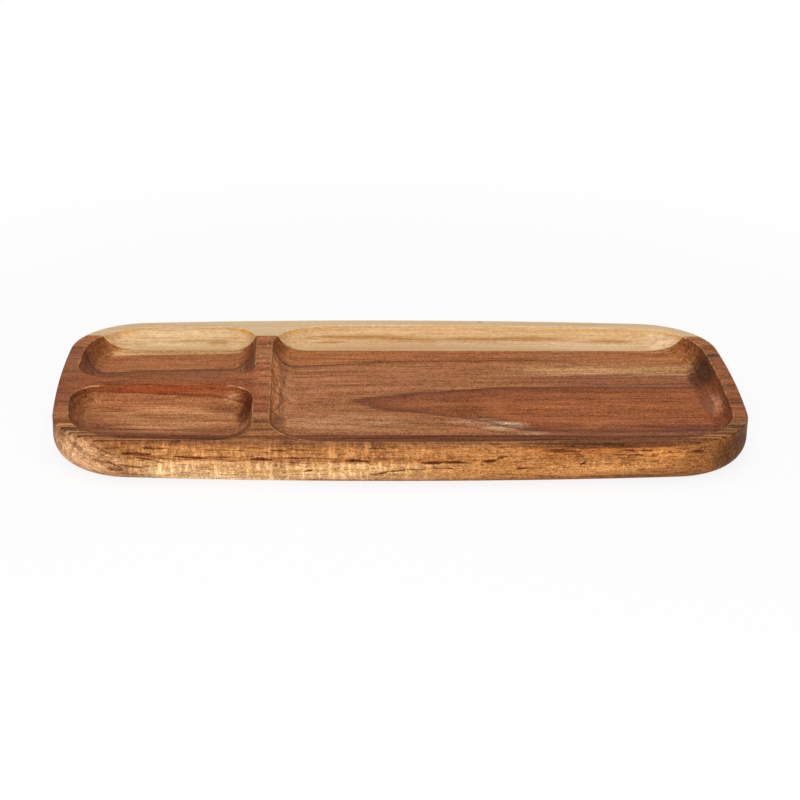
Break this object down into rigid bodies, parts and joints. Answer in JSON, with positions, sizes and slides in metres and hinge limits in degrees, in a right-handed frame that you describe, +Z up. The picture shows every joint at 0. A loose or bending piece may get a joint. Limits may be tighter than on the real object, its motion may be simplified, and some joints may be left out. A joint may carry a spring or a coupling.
{
  "type": "compartment tray",
  "caption": "Solid wood serving tray of edge-glued staves, with one large and two small routed compartments and a rounded underside.",
  "frame": {"origin": "under the middle of the tray, on the surface that it stands on", "axes": "+X along the staves towards the large compartment, +Y across them to the rear, +Z up"},
  "size_m": [0.4, 0.2, 0.025],
  "materials": {
    "sapwood": "pale cream sapwood, oiled, satin",
    "heartwood": "warm brown flat-sawn heartwood, oiled, satin",
    "striped_heartwood": "golden brown heartwood with dark stripes, oiled, satin",
    "glue": "thin brown line of cured wood glue"
  },
  "bodies": {
    "root": {"rear_stave": "sapwood", "middle_stave": "heartwood", "front_stave": "striped_heartwood", "rear_glue_line": "glue", "front_glue_line": "glue"}
  },
  "joints": []
}
